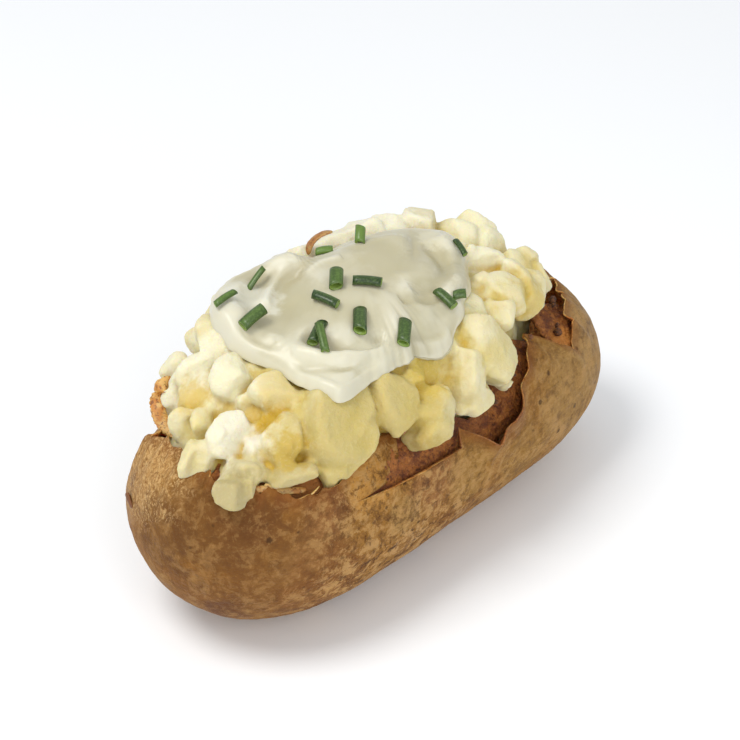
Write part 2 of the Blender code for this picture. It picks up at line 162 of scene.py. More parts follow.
# A row of chunks along the +Y side: first and last azimuth, how many, climb, size, depth.
RIDGE = (34, 150, 11, 48, 12, -2.6)
CHUNK_CUTS = 5  # corners cut off each chunk
CHUNK_SHARPNESS = 22.0
FLESH_VOXEL = 0.6  # voxel size in mm at which the chunks are merged; keeps the flesh under 200,000 triangles
FILLER_TRIES = 900
BIT_TRIES = 300

# Painted light and shade on the flesh: paler on the lit tops, yellower in shaded recesses, greyer and
# darker on the front chunks that face away from the light: x, y, z, radius, colour, strength.
FLESH_PAINTED_LIGHT_AND_SHADE = (
    (-30, -32, 56, 30, (206, 184, 108), 0.8), (16, -26, 55, 9, (222, 206, 146), 0.6),
    (-62, 0, 58, 8, (238, 222, 150), 0.6), (-12, 30, 66, 18, (252, 249, 228), 0.75),
    (20, 27, 68, 18, (252, 249, 228), 0.75), (-58, -7, 61, 9, (250, 246, 226), 0.8),
    (-48, 4, 67, 8, (250, 246, 216), 0.75), (-46, 14, 65, 8, (250, 246, 220), 0.75),
    (-51, 23, 53, 6, (250, 246, 220), 0.7), (-43, 24, 61, 9, (250, 246, 216), 0.65),
    (35, -4, 67, 8, (252, 248, 220), 0.7), (45, 6, 66, 9, (252, 248, 216), 0.65),
    (-61, -14, 55, 6, (214, 198, 140), 0.7), (-52, -21, 53, 7, (200, 182, 124), 0.75),
    (-67, -16, 52, 7, (190, 174, 124), 0.85), (-66, -3, 56, 6, (232, 220, 172), 0.6),
    (-46, -10, 59, 5, (212, 172, 44), 0.85), (-42, -8, 67, 6, (238, 218, 156), 0.6),
    (-53, 12, 58, 6, (226, 192, 88), 0.65), (-6, -23, 60, 7, (220, 190, 84), 0.65),
    (36, -16, 58, 8, (220, 190, 88), 0.6), (-50, -19, 57, 5, (208, 174, 66), 0.65),
    (-16, -29, 54, 6, (214, 190, 108), 0.4), (-15, -30, 46, 4, (196, 168, 92), 0.6),
)

# ---------------------------------------------------------------- the dollop of cream
# The dollop's outline from above, x and y.
CREAM_OUTLINE = np.array((
    (-36, -22), (-38.5, -10), (-38, -3), (-41, 8), (-41, 15), (-36, 22), (-27, 26), (-16, 26),
    (-6, 24), (5, 21), (15, 19), (26, 15), (34, 7), (31, 0), (26, -7), (20, -12.5), (14, -16.5),
    (8, -19.5), (0, -22), (-8, -20), (-15, -20), (-24, -20), (-29, -21),
), float)
CREAM_MIDDLE = np.array((-5.0, 1.0))
CREAM_DEPTH = 5.5
CREAM_SEAT = 3.0  # how far the dollop's underside sinks into the flesh
CREAM_SPOKES = 360
CREAM_RINGS = 84
CREAM_UNDER_RINGS = 10
CREAM_LIP = 1.5  # thickness of the dollop close to its edge
# Mounds and hollows: x, y, half-length, half-width, turn, height, steepness of the edge.
CREAM_FORMS = (
    (-6, 1, 18, 11, -22, 2.2, 2), (-34, 14, 8, 7, 0, 1.0, 1), (-24, 7, 6, 6, 0, -1.2, 1),
    (-35, 2, 2.5, 2.5, 0, 0.7, 1), (16, 6, 7, 6, -30, 1.2, 1),
)
# Folds that the spoon left: the line they follow, half-widths to the left and right
# of it, and height.
CREAM_FOLDS = (
    # the crest at the back
    (((-13, 17), (-2, 14), (4, 10), (11, 8), (16, 3)), 3.5, 7.0, 2.4),
    # the groove inside the right edge, and a small one beside it
    (((20, 3), (18.5, -4), (15.5, -8.5), (12, -11), (7, -11.5), (1, -9.5)), 2.4, 2.4, -2.2),
    (((-3.5, -10), (-1, -11), (2, -12), (6.5, -14), (10, -14.5)), 0.9, 1.6, -1.2),
    # grooves and a ridge above the tip
    (((-11, -17), (-7, -18.5), (-1.5, -19.5), (4.5, -20), (9, -18.5)), 1.6, 1.8, -1.5),
    (((-12, -19), (-5, -20.5), (1.5, -21.5), (8, -20), (12.5, -18)), 1.4, 1.7, 0.9),
    # the right edge
    (((26, 3), (25, -4), (20, -11), (14, -15), (9, -17.5)), 2.6, 3.0, 1.5),
    # the band along the front, the groove behind it and the crease under it
    (((-36, 1), (-34.5, -5), (-32, -10), (-27.5, -14.5), (-20.5, -17), (-13, -18), (-8, -17.5)),
     2.2, 2.4, 2.0),
    (((-29, -2), (-27.5, -7), (-25.5, -11.5), (-20.5, -14.5), (-13, -15.5)), 2.0, 1.9, -2.2),
    (((-36, -8), (-32.5, -13.5), (-27.5, -17), (-20, -19)), 1.1, 1.4, -1.1),
    # folds on the left
    (((-10, 16), (-16, 17.5), (-20, 16.5), (-25, 13.5), (-28, 10.5)), 1.4, 2.6, 2.0),
    (((-3, 9), (-8, 12), (-13, 12.5)), 1.2, 1.5, 0.6),
)

# Painted shade and painted highlight on the cream: darker where its lobes and folds lie in shade, whiter
# where the light falls on the front band and the edges: x, y, z, radius, colour, strength.
CREAM_PAINTED_LIGHT_AND_SHADE = (
    (8, 1, 76, 13, (192, 183, 146), 0.6), (20, -9, 72, 7, (196, 188, 152), 0.5),
    (-20, 7, 74, 7, (194, 186, 150), 0.5), (-14, -4, 75, 7, (198, 190, 156), 0.45),
    (0, -14, 71, 6, (198, 190, 156), 0.4), (-36, -8, 69, 10, (230, 225, 200), 0.6),
    (-20, -19, 67, 9, (230, 225, 200), 0.7), (-28, 15, 75, 7, (240, 238, 222), 0.6),
    (23, 3, 73, 4, (232, 226, 198), 0.6), (15, -8, 70, 7, (190, 182, 148), 0.5),
)

# ---------------------------------------------------------------- chives
# x, y, heading, rise, length, width, lift and paleness of each piece.
CHIVES = (
    (-22.5, 19.5, 0, 35, 7, 1.6, 0, 0.45), (-36, 16.5, -8, 13, 6, 1.9, 0, 0.5),
    (-35, 8, -5, 18, 7, 3.4, 0, 0.3), (-18.5, 0, -78, -5, 7, 2.7, 0, 0.1),
    (-12, 2.5, 42, 14, 5.5, 3.4, 0, 0.35), (-7, -3, -50, -3, 7, 2.8, 0, 0.1),
    (-26.5, -5, 24, 12, 7, 2.8, 0, 0), (-28.5, -8.5, 56, 24, 8, 2.1, 1.6, 0.5),
    (-17, -10, 43, 8, 7.5, 3.4, 0, 0.15), (-10, -18, 38, 18, 7, 3.2, 0, 0.2),
    (7, -16, -92, -18, 6, 2.7, 0, 0.35), (11, -17, -35, 5, 3.2, 2.8, 0, 0.35),
    (26.5, -3.5, -112, -12, 5.5, 1.6, 0, 0.1), (6, 11.5, 40, 30, 4.5, 2.6, 0, 0.9),
    (-1, 17, -40, 5, 4.2, 2.4, 0, 0.9),
)

# ---------------------------------------------------------------- shreds and crumbs
# Torn shreds of skin: points along each, its broad direction, width, thickness, how burnt.
SHREDS = (
    # the curl at the -X end
    (((-46, 25, 55), (-49, 25, 55.5), (-51.5, 24.5, 54), (-53, 23.5, 52.5), (-54.5, 21.5, 51),
      (-55, 19.5, 49.5), (-55, 17, 48.5), (-54.5, 14, 48)), (0.75, 0.3, 0.5), 3.8, 1.0, 0.1),
    # the curl on the +Y side
    (((2, 26, 69), (2.5, 25.5, 71.5), (4, 25, 73), (6, 24, 74), (8, 23, 74)),
     (0.3, 0.9, -0.3), 3.2, 0.8, 0.5),
    # fibres and folds under the flesh of the -X end
    (((-58, -20, 49), (-56.5, -22, 48), (-54.5, -23.5, 47.5), (-52, -24.5, 47), (-49.5, -25, 47.5),
      (-47, -25, 48.5)), (0.2, -0.3, 0.9), 0.9, 0.4, 0.0),
    (((-60.5, -16.5, 51), (-59, -18, 50.5), (-57, -19.5, 50.5), (-55, -21, 49.5), (-52.5, -22.5, 49),
      (-50, -23.5, 48.5)), (0.3, 0.6, 0.6), 1.8, 0.5, 0.4),
    (((-58, -18, 51.5), (-56.5, -20, 49.5), (-55, -22, 48.5)), (0.6, -0.3, 0.6), 1.2, 0.4, 0.2),
    # the dark stub at the -X end
    (((-70.5, 16.5, 38.5), (-71, 15, 37), (-71, 14, 35.5)), (0.3, 0.9, 0.1), 2.0, 1.0, 1.0),
    # a burnt bit beside the tongue
    (((-22.5, -25, 51.5), (-20.5, -26, 52), (-19.5, -27, 50.5)), (0.3, -0.5, 0.8), 2.2, 0.7, 0.7),
)
# Burnt crumbs: x, y, z and size.
CRUMBS = (
    (29, -25, 54, 1.2), (54.5, -11, 46.5, 2.2), (53, -12.5, 46.5, 1.5), (48.5, -18, 43, 2.0),
    (50, -16.5, 43.5, 1.3), (8.5, -29.5, 47.5, 0.9), (19.5, -28, 48.5, 0.9), (11.5, -29, 45, 1.2),
)

# ---------------------------------------------------------------- view and light
VIEW_AZIMUTH = -47.0
VIEW_ELEVATION = 34.0
VIEW_DISTANCE = 750.0
VIEW_TARGET = Vector((0, 0, 28.3))
VIEW_SHIFT = (-1.89, 15.27)  # the camera's own place, to its right and up
LENS = 144.5
TONE = 0.84  # share of its screen colour that a surface is given under these bright lights


# ================================================================ small helpers
def smooth_step(low, high, value):
    share = np.clip((value - low) / (high - low), 0.0, 1.0)
    return share * share * (3 - 2 * share)


def body_points(azimuth, polar, grow=0.0):
    """Points of the whole potato's surface, moved out by grow, as an array of x, y, z."""
    azimuth, polar = np.radians(azimuth), np.radians(polar)
    along = np.sin(polar) * np.cos(azimuth)
    across = np.sin(polar) * np.sin(azimuth)
    swell = 1 + TAPER * along + FULLNESS * along ** 2
    x = (HALF_LENGTH + grow) * along
    y = (HALF_WIDTH * swell + grow) * across
    z = CENTRE_HEIGHT + (HALF_HEIGHT * swell + grow) * np.cos(polar) + LEAN * x
    return np.stack(np.broadcast_arrays(x, y, z), -1)


def wave_noise(values, period, seed):
    """Smooth noise between -1 and 1 along one coordinate, as a sum of sines."""
    chance = np.random.default_rng(seed)
    total = np.zeros_like(values, float)
    for _ in range(7):
        wave = period * chance.uniform(0.6, 1.7)
        total += np.sin(values * math.tau / wave + chance.uniform(0, math.tau))
    return total / 7 ** 0.5 / 1.4


def mesh_object(name, points, faces):
    """A smooth-shaded object from points in mm and faces."""
    mesh = bpy.data.meshes.new(name)
    mesh.from_pydata([tuple(p) for p in np.asarray(points) * MM], [], faces)
    mesh.validate()
    mesh.shade_smooth()
    thing = bpy.data.objects.new(name, mesh)
    bpy.context.scene.collection.objects.link(thing)
    return thing


def ring_quads(rings, around, looped=False):
    """Quads between rings of points that follow each other."""
    quads = []
    for ring in range(rings if looped else rings - 1):
        here, there = ring * around, (ring + 1) % rings * around
        for step in range(around):
            after = (step + 1) % around
            quads.append((here + step, here + after, there + after, there + step))
    return quads


class Pile:
    """Gathers many small parts into one mesh."""

    def __init__(self):
        self.points, self.faces, self.count = [], [], 0

    def add_part(self, points, faces):
        self.points.append(points)
        self.faces += [tuple(index + self.count for index in face) for face in faces]
        self.count += len(points)

    def build(self, name):
        return mesh_object(name, np.concatenate(self.points), self.faces)


def apply_modifiers(thing):
    depsgraph = bpy.context.evaluated_depsgraph_get()
    mesh = bpy.data.meshes.new_from_object(thing.evaluated_get(depsgraph))
    thing.modifiers.clear()
    thing.data = mesh


def vertex_array(mesh, what="co"):
    values = np.empty(len(mesh.vertices) * 3, np.float32)
    source = mesh.vertices if what == "co" else mesh.vertex_normals
    source.foreach_get("co" if what == "co" else "vector", values)
    return values.reshape(-1, 3).astype(float)


def set_vertices(mesh, points):
    mesh.vertices.foreach_set("co", np.asarray(points, np.float32).ravel())
    mesh.update()


def store(mesh, name, values):
    attribute = mesh.attributes.new(name, "FLOAT", "POINT")
    attribute.data.foreach_set("value", np.asarray(values, np.float32))


def displace(thing, name, size, depth, strength):
    """Uneven relief from a cloud texture of this size in mm."""
    texture = bpy.data.textures.new(name, "CLOUDS")
    texture.noise_scale = size * MM
    texture.noise_depth = depth
    relief = thing.modifiers.new("relief_" + name, "DISPLACE")
    relief.texture = texture
    relief.texture_coords = "LOCAL"
    relief.strength = strength * MM
    relief.mid_level = 0.5


def add_shell(thing, thickness):
    """A Solidify modifier that thickens a surface inwards by this many mm."""
    shell = thing.modifiers.new("thickness", "SOLIDIFY")
    shell.thickness = thickness * MM
    shell.offset = -1
    return shell


# ================================================================ materials
class Paint:
    """A short way to write a Principled material's nodes."""

    def __init__(self, name):
        self.material = bpy.data.materials.new(name)
        self.material.use_nodes = True
        self.tree = self.material.node_tree
        self.shader = self.tree.nodes["Principled BSDF"]
        self.place = self.node("TexCoord", {}).outputs["Object"]
        self.place = self.scaled(self.place, MM, MM, MM)  # in mm

    def link(self, value, socket):
        if isinstance(value, bpy.types.NodeSocket):
            self.tree.links.new(value, socket)
        elif isinstance(value, tuple) and len(value) == 3 and socket.type == "RGBA":
            socket.default_value = (*value, 1)
        else:
            socket.default_value = value

    def node(self, kind, inputs, **settings):
        """A new node with these settings and these values or links on its inputs."""
        made = self.tree.nodes.new("ShaderNode" + kind)
        for name, value in settings.items():
            setattr(made, name, value)
        for socket, value in inputs.items():
            self.link(value, made.inputs[socket])
        return made

    def scaled(self, place, x, y, z, turn=0.0):
        """A place turned about Z and divided by these lengths."""
        inputs = {"Vector": place, "Scale": (1 / x, 1 / y, 1 / z), "Rotation": (0, 0, math.radians(turn))}
        return self.node("Mapping", inputs).outputs["Vector"]

    def wavering(self, x, y, z, turn=0.0):
        """The place in mm, bent by noise, turned and divided by these lengths."""
        waver = self.node("TexNoise", {"Vector": self.place, "Scale": 0.4, "Detail": 2.0})
        inputs = {0: waver.outputs["Color"], 1: (2.6, 2.6, 2.6), 2: self.place}
        bent = self.node("VectorMath", inputs, operation="MULTIPLY_ADD")
        return self.scaled(bent.outputs["Vector"], x, y, z, turn)

    def near(self, spot, radius, strength=1.0):
        """The strength inside a ragged round patch about spot, and nothing outside it."""
        inputs = {"Vector": self.place, "Scale": 2.2 / radius, "Detail": 3.0, "Roughness": 0.6}
        waver = self.node("TexNoise", inputs).outputs["Fac"]
        distance = self.node("VectorMath", {0: self.place, 1: spot}, operation="DISTANCE")
        inputs = {0: waver, 1: radius * 1.5, 2: -radius * 0.75}
        ragged = self.node("Math", inputs, operation="MULTIPLY_ADD").outputs[0]
        ragged = self.math("ADD", distance.outputs["Value"], ragged)
        return self.ramp(ragged, radius * 1.25, radius * 0.6, 0, strength)

    def noise(self, size, detail=3.0, roughness=0.5, place=None, distortion=0.0):
        inputs = {"Vector": place or self.place, "Scale": 1 / size, "Detail": detail,
                  "Roughness": roughness, "Distortion": distortion}
        return self.node("TexNoise", inputs).outputs["Fac"]

    def axis(self, letter):
        """The place along X, Y or Z, in mm."""
        return self.node("SeparateXYZ", {"Vector": self.place}).outputs[letter]

    def cells(self, size):
        return self.node("TexVoronoi", {"Scale": 1 / size, "Vector": self.place}).outputs["Distance"]

    def ramp(self, value, low, high, start=0.0, end=1.0):
        """Maps value from low..high to start..end smoothly."""
        inputs = dict(enumerate((value, low, high, start, end)))
        return self.node("MapRange", inputs, interpolation_type="SMOOTHSTEP").outputs[0]

    def math(self, kind, first, second=0.0):
        return self.node("Math", {0: first, 1: second}, operation=kind).outputs[0]

    def mix(self, share, first, second):
        return self.node("Mix", {0: share, 6: first, 7: second}, data_type="RGBA").outputs[2]

    def attribute(self, name):
        return self.node("Attribute", {}, attribute_name=name).outputs["Fac"]

    def tint(self, colour, field, low, high, strength, tone):
        """The colour, with the tone laid over it where the field passes from low to high."""
        return self.mix(self.ramp(field, low, high, 0, strength), colour, srgb(*tone))

    def spots(self, colour, patches):
        """The colour with patches laid over it, each x, y, z, radius, tone and strength."""
        for x, y, z, radius, tone, strength in patches:
            colour = self.mix(self.near((x, y, z), radius, strength), colour, srgb(*tone))
        return colour

    def bump(self, height, distance, strength=1.0, after=None):
        inputs = {"Distance": distance * MM, "Strength": strength, "Height": height}
        if after:
            inputs["Normal"] = after
        return self.node("Bump", inputs).outputs["Normal"]

    def finish(self, colour, roughness, normal=None, scatter=0.0, radius=(1, 1, 1), specular=None):
        inputs = self.shader.inputs
        self.link(colour, inputs["Base Color"])
        self.link(roughness, inputs["Roughness"])
        if normal:
            self.link(normal, inputs["Normal"])
        inputs["Subsurface Weight"].default_value = scatter
        inputs["Subsurface Radius"].default_value = radius
        inputs["Subsurface Scale"].default_value = MM
        if specular is not None:
            inputs["Specular IOR Level"].default_value = specular
        return self.material


def srgb(red, green, blue):
    """A colour given as screen values 0 to 255, as the shader wants it."""
    def straight(value):
        value /= 255
        return TONE * (value / 12.92 if value <= 0.04045 else ((value + 0.055) / 1.055) ** 2.4)
    return straight(red), straight(green), straight(blue)


def skin_ground(paint):
    """The skin's broad colours: a little paler higher up as painted light from above, and paler still
    towards the +X end.
    """
    blotch = paint.noise(19, 4, 0.5)
    colour = paint.mix(paint.ramp(blotch, 0.38, 0.62), srgb(138, 87, 30), srgb(160, 111, 44))
    # painted light: paler higher up, where the light from above falls
    colour = paint.tint(colour, paint.axis("Z"), 8, 50, 0.35, (162, 114, 52))
    colour = paint.tint(colour, paint.axis("X"), 15, 62, 0.75, (168, 126, 56))
    # painted light and shade in patches, over the skin's own patches
    return paint.spots(colour, SKIN_TONES_AND_PAINTED_LIGHT)


def skin_mottles(paint, colour, patch, grain):
    """Pale and dark mottles, from clouds of some mm down to grains, stronger in the middle."""
    speck = paint.ramp(paint.noise(1.5, 3, 0.6), 0.35, 0.65, 0.4, 1)
    pale = paint.math("MULTIPLY", paint.ramp(patch, 0.5, 0.64), speck)
    colour = paint.mix(paint.math("MULTIPLY", pale, 0.3), colour, srgb(180, 136, 82))
    colour = paint.tint(colour, patch, 0.46, 0.3, 0.5, (98, 60, 26))
    length = paint.axis("X")
    share = paint.ramp(paint.axis("Z"), 32, 20, 1, 1.5)
    for ends in ((-62, -38, 0.3, 1.0), (-14, 8, 1, 0.55)):
        share = paint.math("MULTIPLY", share, paint.ramp(length, *ends))
    cloud = paint.noise(5.0, 6, 0.78, distortion=0.6)
    mottle = paint.noise(2.4, 5, 0.72)
    for field, low, high, tone, strength in (
            (cloud, 0.5, 0.58, (198, 154, 94), 0.75), (cloud, 0.48, 0.38, (100, 62, 26), 0.6),
            (mottle, 0.52, 0.64, (198, 152, 92), 0.7), (mottle, 0.48, 0.36, (94, 58, 24), 0.7),
            (grain, 0.56, 0.74, (204, 162, 104), 0.4), (grain, 0.44, 0.28, (84, 50, 20), 0.4)):
        amount = paint.math("MULTIPLY", paint.ramp(field, low, high, 0, strength), share)
        colour = paint.mix(amount, colour, srgb(*tone))
    return colour


def skin_material():
    """Dry russet skin: mottles, wrinkles, dots, a crinkled shoulder with partly painted highlight, and a
    browned edge.
    """
    paint = Paint("baked_skin")
    patch = paint.noise(6.5, 5, 0.62, distortion=0.5)
    grain = paint.noise(0.8, 4, 0.7)
    wrinkle = paint.noise(1, 4, 0.6, place=paint.scaled(paint.place, 8, 1.3, 1.1))
    colour = skin_mottles(paint, skin_ground(paint), patch, grain)
    colour = paint.tint(colour, wrinkle, 0.52, 0.7, 0.3, (100, 64, 28))
    colour = paint.tint(colour, paint.cells(8.5), 0.07, 0.03, 0.5, (66, 40, 16))
    colour = paint.spots(colour, [(*dot, (62, 36, 14), 0.75) for dot in SKIN_DOTS])
    colour = paint.tint(colour, paint.attribute("from_rim"), 5.0, 0.4, 0.5, (128, 72, 30))

    shoulder = paint.near(SHOULDER, 16)
    crepe = paint.noise(1, 5, 0.7, place=paint.wavering(1.5, 0.5, 0.8, 35))
    # the shoulder's pale crinkles are partly the skin's own crepe and partly painted highlight
    for low, high, tone in ((0.5, 0.6, (232, 190, 130)), (0.48, 0.38, (140, 94, 48))):
        amount = paint.math("MULTIPLY", paint.ramp(crepe, low, high), shoulder)
        colour = paint.mix(paint.math("MULTIPLY", amount, 0.75), colour, srgb(*tone))
    relief = paint.math("ADD", grain, paint.math("MULTIPLY", crepe, paint.ramp(shoulder, 0, 1, 0.4, 1.6)))
    normal = paint.bump(wrinkle, 1.0, 0.5, after=paint.bump(relief, 0.34, 0.85))
    roughness = paint.ramp(patch, 0.3, 0.7, 0.48, 0.66)
    return paint.finish(colour, roughness, normal, 0.06, (1.2, 0.6, 0.3), specular=0.12)


def torn_edge_material():
    """The skin's inner side and torn edge: golden, thin and burnt in places."""
    paint = Paint("torn_edge")
    patch = paint.noise(2.6, 4, 0.6)
    grain = paint.noise(0.7, 3, 0.6)
    colour = paint.mix(paint.ramp(patch, 0.4, 0.62), srgb(196, 128, 56), srgb(232, 186, 112))
    colour = paint.mix(paint.near(DIP, 15, 0.8), colour, srgb(150, 92, 44))
    colour = paint.tint(colour, grain, 0.5, 0.36, 0.8, (122, 62, 24))
    return paint.finish(colour, 0.55, paint.bump(grain, 0.3, 0.8), 0.35, (2.0, 0.9, 0.3))


def browned_material():
    """Baked flesh that shows under the torn skin: rough, red-brown and crumbly."""
    paint = Paint("browned_flesh")
    patch = paint.noise(3.2, 5, 0.62)
    grain = paint.noise(0.8, 4, 0.7)
    colour = paint.mix(paint.ramp(patch, 0.38, 0.62), srgb(122, 62, 20), srgb(178, 108, 42))
    # orange flecks on the grain's tops: partly the crust's own colour, partly painted highlight
    colour = paint.tint(colour, grain, 0.55, 0.72, 0.6, (218, 150, 72))
    colour = paint.tint(colour, grain, 0.46, 0.32, 0.85, (62, 26, 8))
    colour = paint.spots(colour, BROWNED_PATCHES)
    height = paint.math("ADD", grain, paint.math("MULTIPLY", paint.cells(0.9), -0.5))
    return paint.finish(colour, 0.6, paint.bump(height, 0.6), 0.1, (1.0, 0.4, 0.15))


def flesh_material():
    """Fluffy potato: paler on the lumps as painted highlight, deep yellow in the hollows as painted shade,
    mealy all over.
    """
    paint = Paint("fluffy_flesh")
    hollow = paint.attribute("hollow")
    patch = paint.noise(8, 3, 0.55, distortion=0.4)
    grain = paint.noise(0.7, 4, 0.65)
    fibre = paint.noise(1, 3, 0.6, place=paint.scaled(paint.place, 1.6, 1.6, 5))
    colour = paint.mix(paint.ramp(patch, 0.36, 0.62), srgb(224, 203, 126), srgb(238, 226, 174))
    # painted highlight: paler on the bulging lumps
    colour = paint.tint(colour, hollow, -0.1, -1.4, 0.55, (244, 236, 202))
    # painted light and shade in patches
    colour = paint.spots(colour, FLESH_PAINTED_LIGHT_AND_SHADE)
    # painted shade: deep yellow in the hollows
    colour = paint.tint(colour, hollow, 0.2, 2.4, 0.85, (214, 176, 62))
    colour = paint.tint(colour, grain, 0.5, 0.7, 0.12, (246, 240, 208))
    height = paint.math("ADD", grain, paint.math("MULTIPLY", fibre, 0.8))
    normal = paint.bump(height, 0.45, 0.65)
    return paint.finish(colour, 0.85, normal, 0.35, (2.6, 1.7, 0.45), specular=0.12)


def cream_material():
    """Thick sour cream: smooth, warm white, with painted shade in its creases and painted highlight on its
    crests.
    """
    paint = Paint("sour_cream")
    hollow = paint.attribute("hollow")
    patch = paint.noise(14, 2, 0.4)
    colour = paint.mix(paint.ramp(patch, 0.35, 0.65), srgb(206, 199, 168), srgb(213, 206, 178))
    # painted shade in the creases and painted highlight on the crests
    colour = paint.tint(colour, hollow, 0.0, 0.5, 0.6, (188, 178, 142))
    colour = paint.tint(colour, hollow, 0.0, -0.5, 0.6, (236, 232, 212))
    # painted light and shade in patches
    colour = paint.spots(colour, CREAM_PAINTED_LIGHT_AND_SHADE)
    normal = paint.bump(paint.noise(1.2, 2, 0.5), 0.05, 0.4)
    return paint.finish(colour, 0.3, normal, 0.25, (2.0, 1.6, 1.0), specular=0.35)


# ================================================================ the jacket
def rim_columns():
    """Azimuths of the jacket's columns, with its rim angle and bend at each."""
    even = -180 + 360 * np.arange(COLUMNS) / COLUMNS
    azimuth = even + CROWDING * np.sin(2 * np.radians(even))
    for tear in (CLEFT_ROOT, TONGUE_END, CLEFT_END, NOTCH):
        azimuth[np.argmin(np.abs(azimuth - tear))] = tear
    rim = np.interp(azimuth, RIM[:, 0], RIM[:, 1])
    bend = np.interp(azimuth, RIM[:, 0], RIM[:, 2])
    calm = 1 - 0.75 * smooth_step(-94, -88, azimuth) * smooth_step(-46, -52, azimuth)
    coarse = 0.9 * wave_noise(azimuth, 5.0, 3) * (0.4 + smooth_step(-0.5, 1, wave_noise(azimuth, 14, 6)))
    fine = 0.5 * wave_noise(azimuth, 2.3, 4) * smooth_step(-0.2, 1, wave_noise(azimuth, 11, 9))
    rim = rim + (coarse + fine) * calm
    bend = bend + 7 * wave_noise(azimuth, 9.0, 5)
    return azimuth, rim, bend


def jacket_grid():
    """Points of the jacket's outside, one row for each step down from the rim."""
    azimuth, rim, bend = rim_columns()
    beyond = np.maximum.reduce([CLEFT_ROOT - azimuth, azimuth - CLEFT_END, np.zeros_like(azimuth)])
    usual = np.maximum(rim + BAND_DEPTH, CLEFT_POLAR)
    foot = CLEFT_POLAR + (usual - CLEFT_POLAR) * smooth_step(0, 8, beyond)
    foot = np.maximum(foot, rim + 5)
    band = np.linspace(0, 1, BAND_ROWS, endpoint=False)[:, None]
    body = np.linspace(0, 1, BODY_ROWS, endpoint=False)[:, None]
    polar = np.concatenate([rim + (foot - rim) * band, foot + (180 - foot) * body])
    flat = body_points(azimuth[None, :], polar)
    depth = np.concatenate([band, 1 + body * 2.5])
    turn = np.radians(bend) * np.clip(1.1 - depth / BEND_REACH, 0, 1)
    out = np.stack([np.cos(np.radians(azimuth)), np.sin(np.radians(azimuth))], -1)
    points = flat.copy()
    for row in range(len(polar) - 2, -1, -1):
        step = flat[row] - flat[row + 1]
        level = (step[:, :2] * out).sum(1)
        beside = step[:, :2] - out * level[:, None]
        cosine, sine = np.cos(turn[row]), np.sin(turn[row])
        tilted = level * cosine + step[:, 2] * sine
        rise = step[:, 2] * cosine - level * sine
        points[row, :, :2] = points[row + 1, :, :2] + beside + out * tilted[:, None]
        points[row, :, 2] = points[row + 1, :, 2] + rise
    points[..., 2] = np.maximum(points[..., 2], 0.0)
    return azimuth, points, out


def shape_cleft(azimuth, points, out):
    """Sinks the tongue of skin, bends the lip under it out, and returns the tongue's foot."""
    tongue = (azimuth > CLEFT_ROOT) & (azimuth <= TONGUE_END)
    slack = (azimuth - CLEFT_ROOT) / (TONGUE_END - CLEFT_ROOT)
    sink = np.where(tongue, TONGUE_SINK * smooth_step(0, 0.8, slack), 0.0)
    foot = points[BAND_ROWS].copy()
    foot[:, :2] -= out * sink[:, None]
    share = 0.6 + 0.4 * np.linspace(0, 1, BAND_ROWS, endpoint=False)
    points[:BAND_ROWS, :, :2] -= share[:, None, None] * sink[None, :, None] * out[None]
    cleft = (azimuth > CLEFT_ROOT) & (azimuth < CLEFT_END)
    middle = (azimuth - CLEFT_ROOT) / (CLEFT_END - CLEFT_ROOT)
    lip = np.where(cleft, LIP_OUT * np.sin(np.pi * np.clip(middle, 0, 1)), 0.0)
    for row in range(LIP_ROWS):
        points[BAND_ROWS + row, :, :2] += out * (lip * (1 - row / LIP_ROWS))[:, None]
    columns = np.flatnonzero(tongue)
    return columns, foot[columns]


def jacket_faces(azimuth, rows, tongue):
    """Faces of the jacket's grid, open at the cleft; the tongue stands on its own foot."""
    bottom = rows * COLUMNS
    feet = {int(column): bottom + 1 + order for order, column in enumerate(tongue)}
    faces = []
    for column in range(COLUMNS):
        after = (column + 1) % COLUMNS
        between = azimuth[column] + 0.01
        in_cleft = TONGUE_END < between < CLEFT_END
        on_tongue = CLEFT_ROOT < between < TONGUE_END
        for row in range(rows - 1):
            low_left, low_right = (row + 1) * COLUMNS + column, (row + 1) * COLUMNS + after
            if row < BAND_ROWS and in_cleft:
                continue
            if row == BAND_ROWS - 1 and on_tongue:
                low_left, low_right = feet.get(column, low_left), feet.get(after, low_right)
            faces.append((row * COLUMNS + column, low_left, low_right, row * COLUMNS + after))
        faces.append(((rows - 1) * COLUMNS + column, bottom, (rows - 1) * COLUMNS + after))
    return faces


def clean_loose_points(mesh):
    bm = bmesh.new()
    bm.from_mesh(mesh)
    bmesh.ops.delete(bm, geom=[v for v in bm.verts if not v.link_faces], context="VERTS")
    bmesh.ops.recalc_face_normals(bm, faces=bm.faces)
    bm.to_mesh(mesh)
    bm.free()


def thicken_jacket(jacket):
    """Gives the skin its thickness, less at the torn rim."""
    thick = jacket.vertex_groups.new(name="thick")
    reach = np.empty(len(jacket.data.vertices), np.float32)
    jacket.data.attributes["from_rim"].data.foreach_get("value", reach)
    for index, share in enumerate(smooth_step(0.0, 4.0, reach)):
        thick.add([index], share, "REPLACE")
    shell = add_shell(jacket, SKIN_THICKNESS)
    shell.vertex_group = "thick"
    shell.thickness_vertex_group = RIM_THINNING
    shell.material_offset = 1
    shell.material_offset_rim = 1


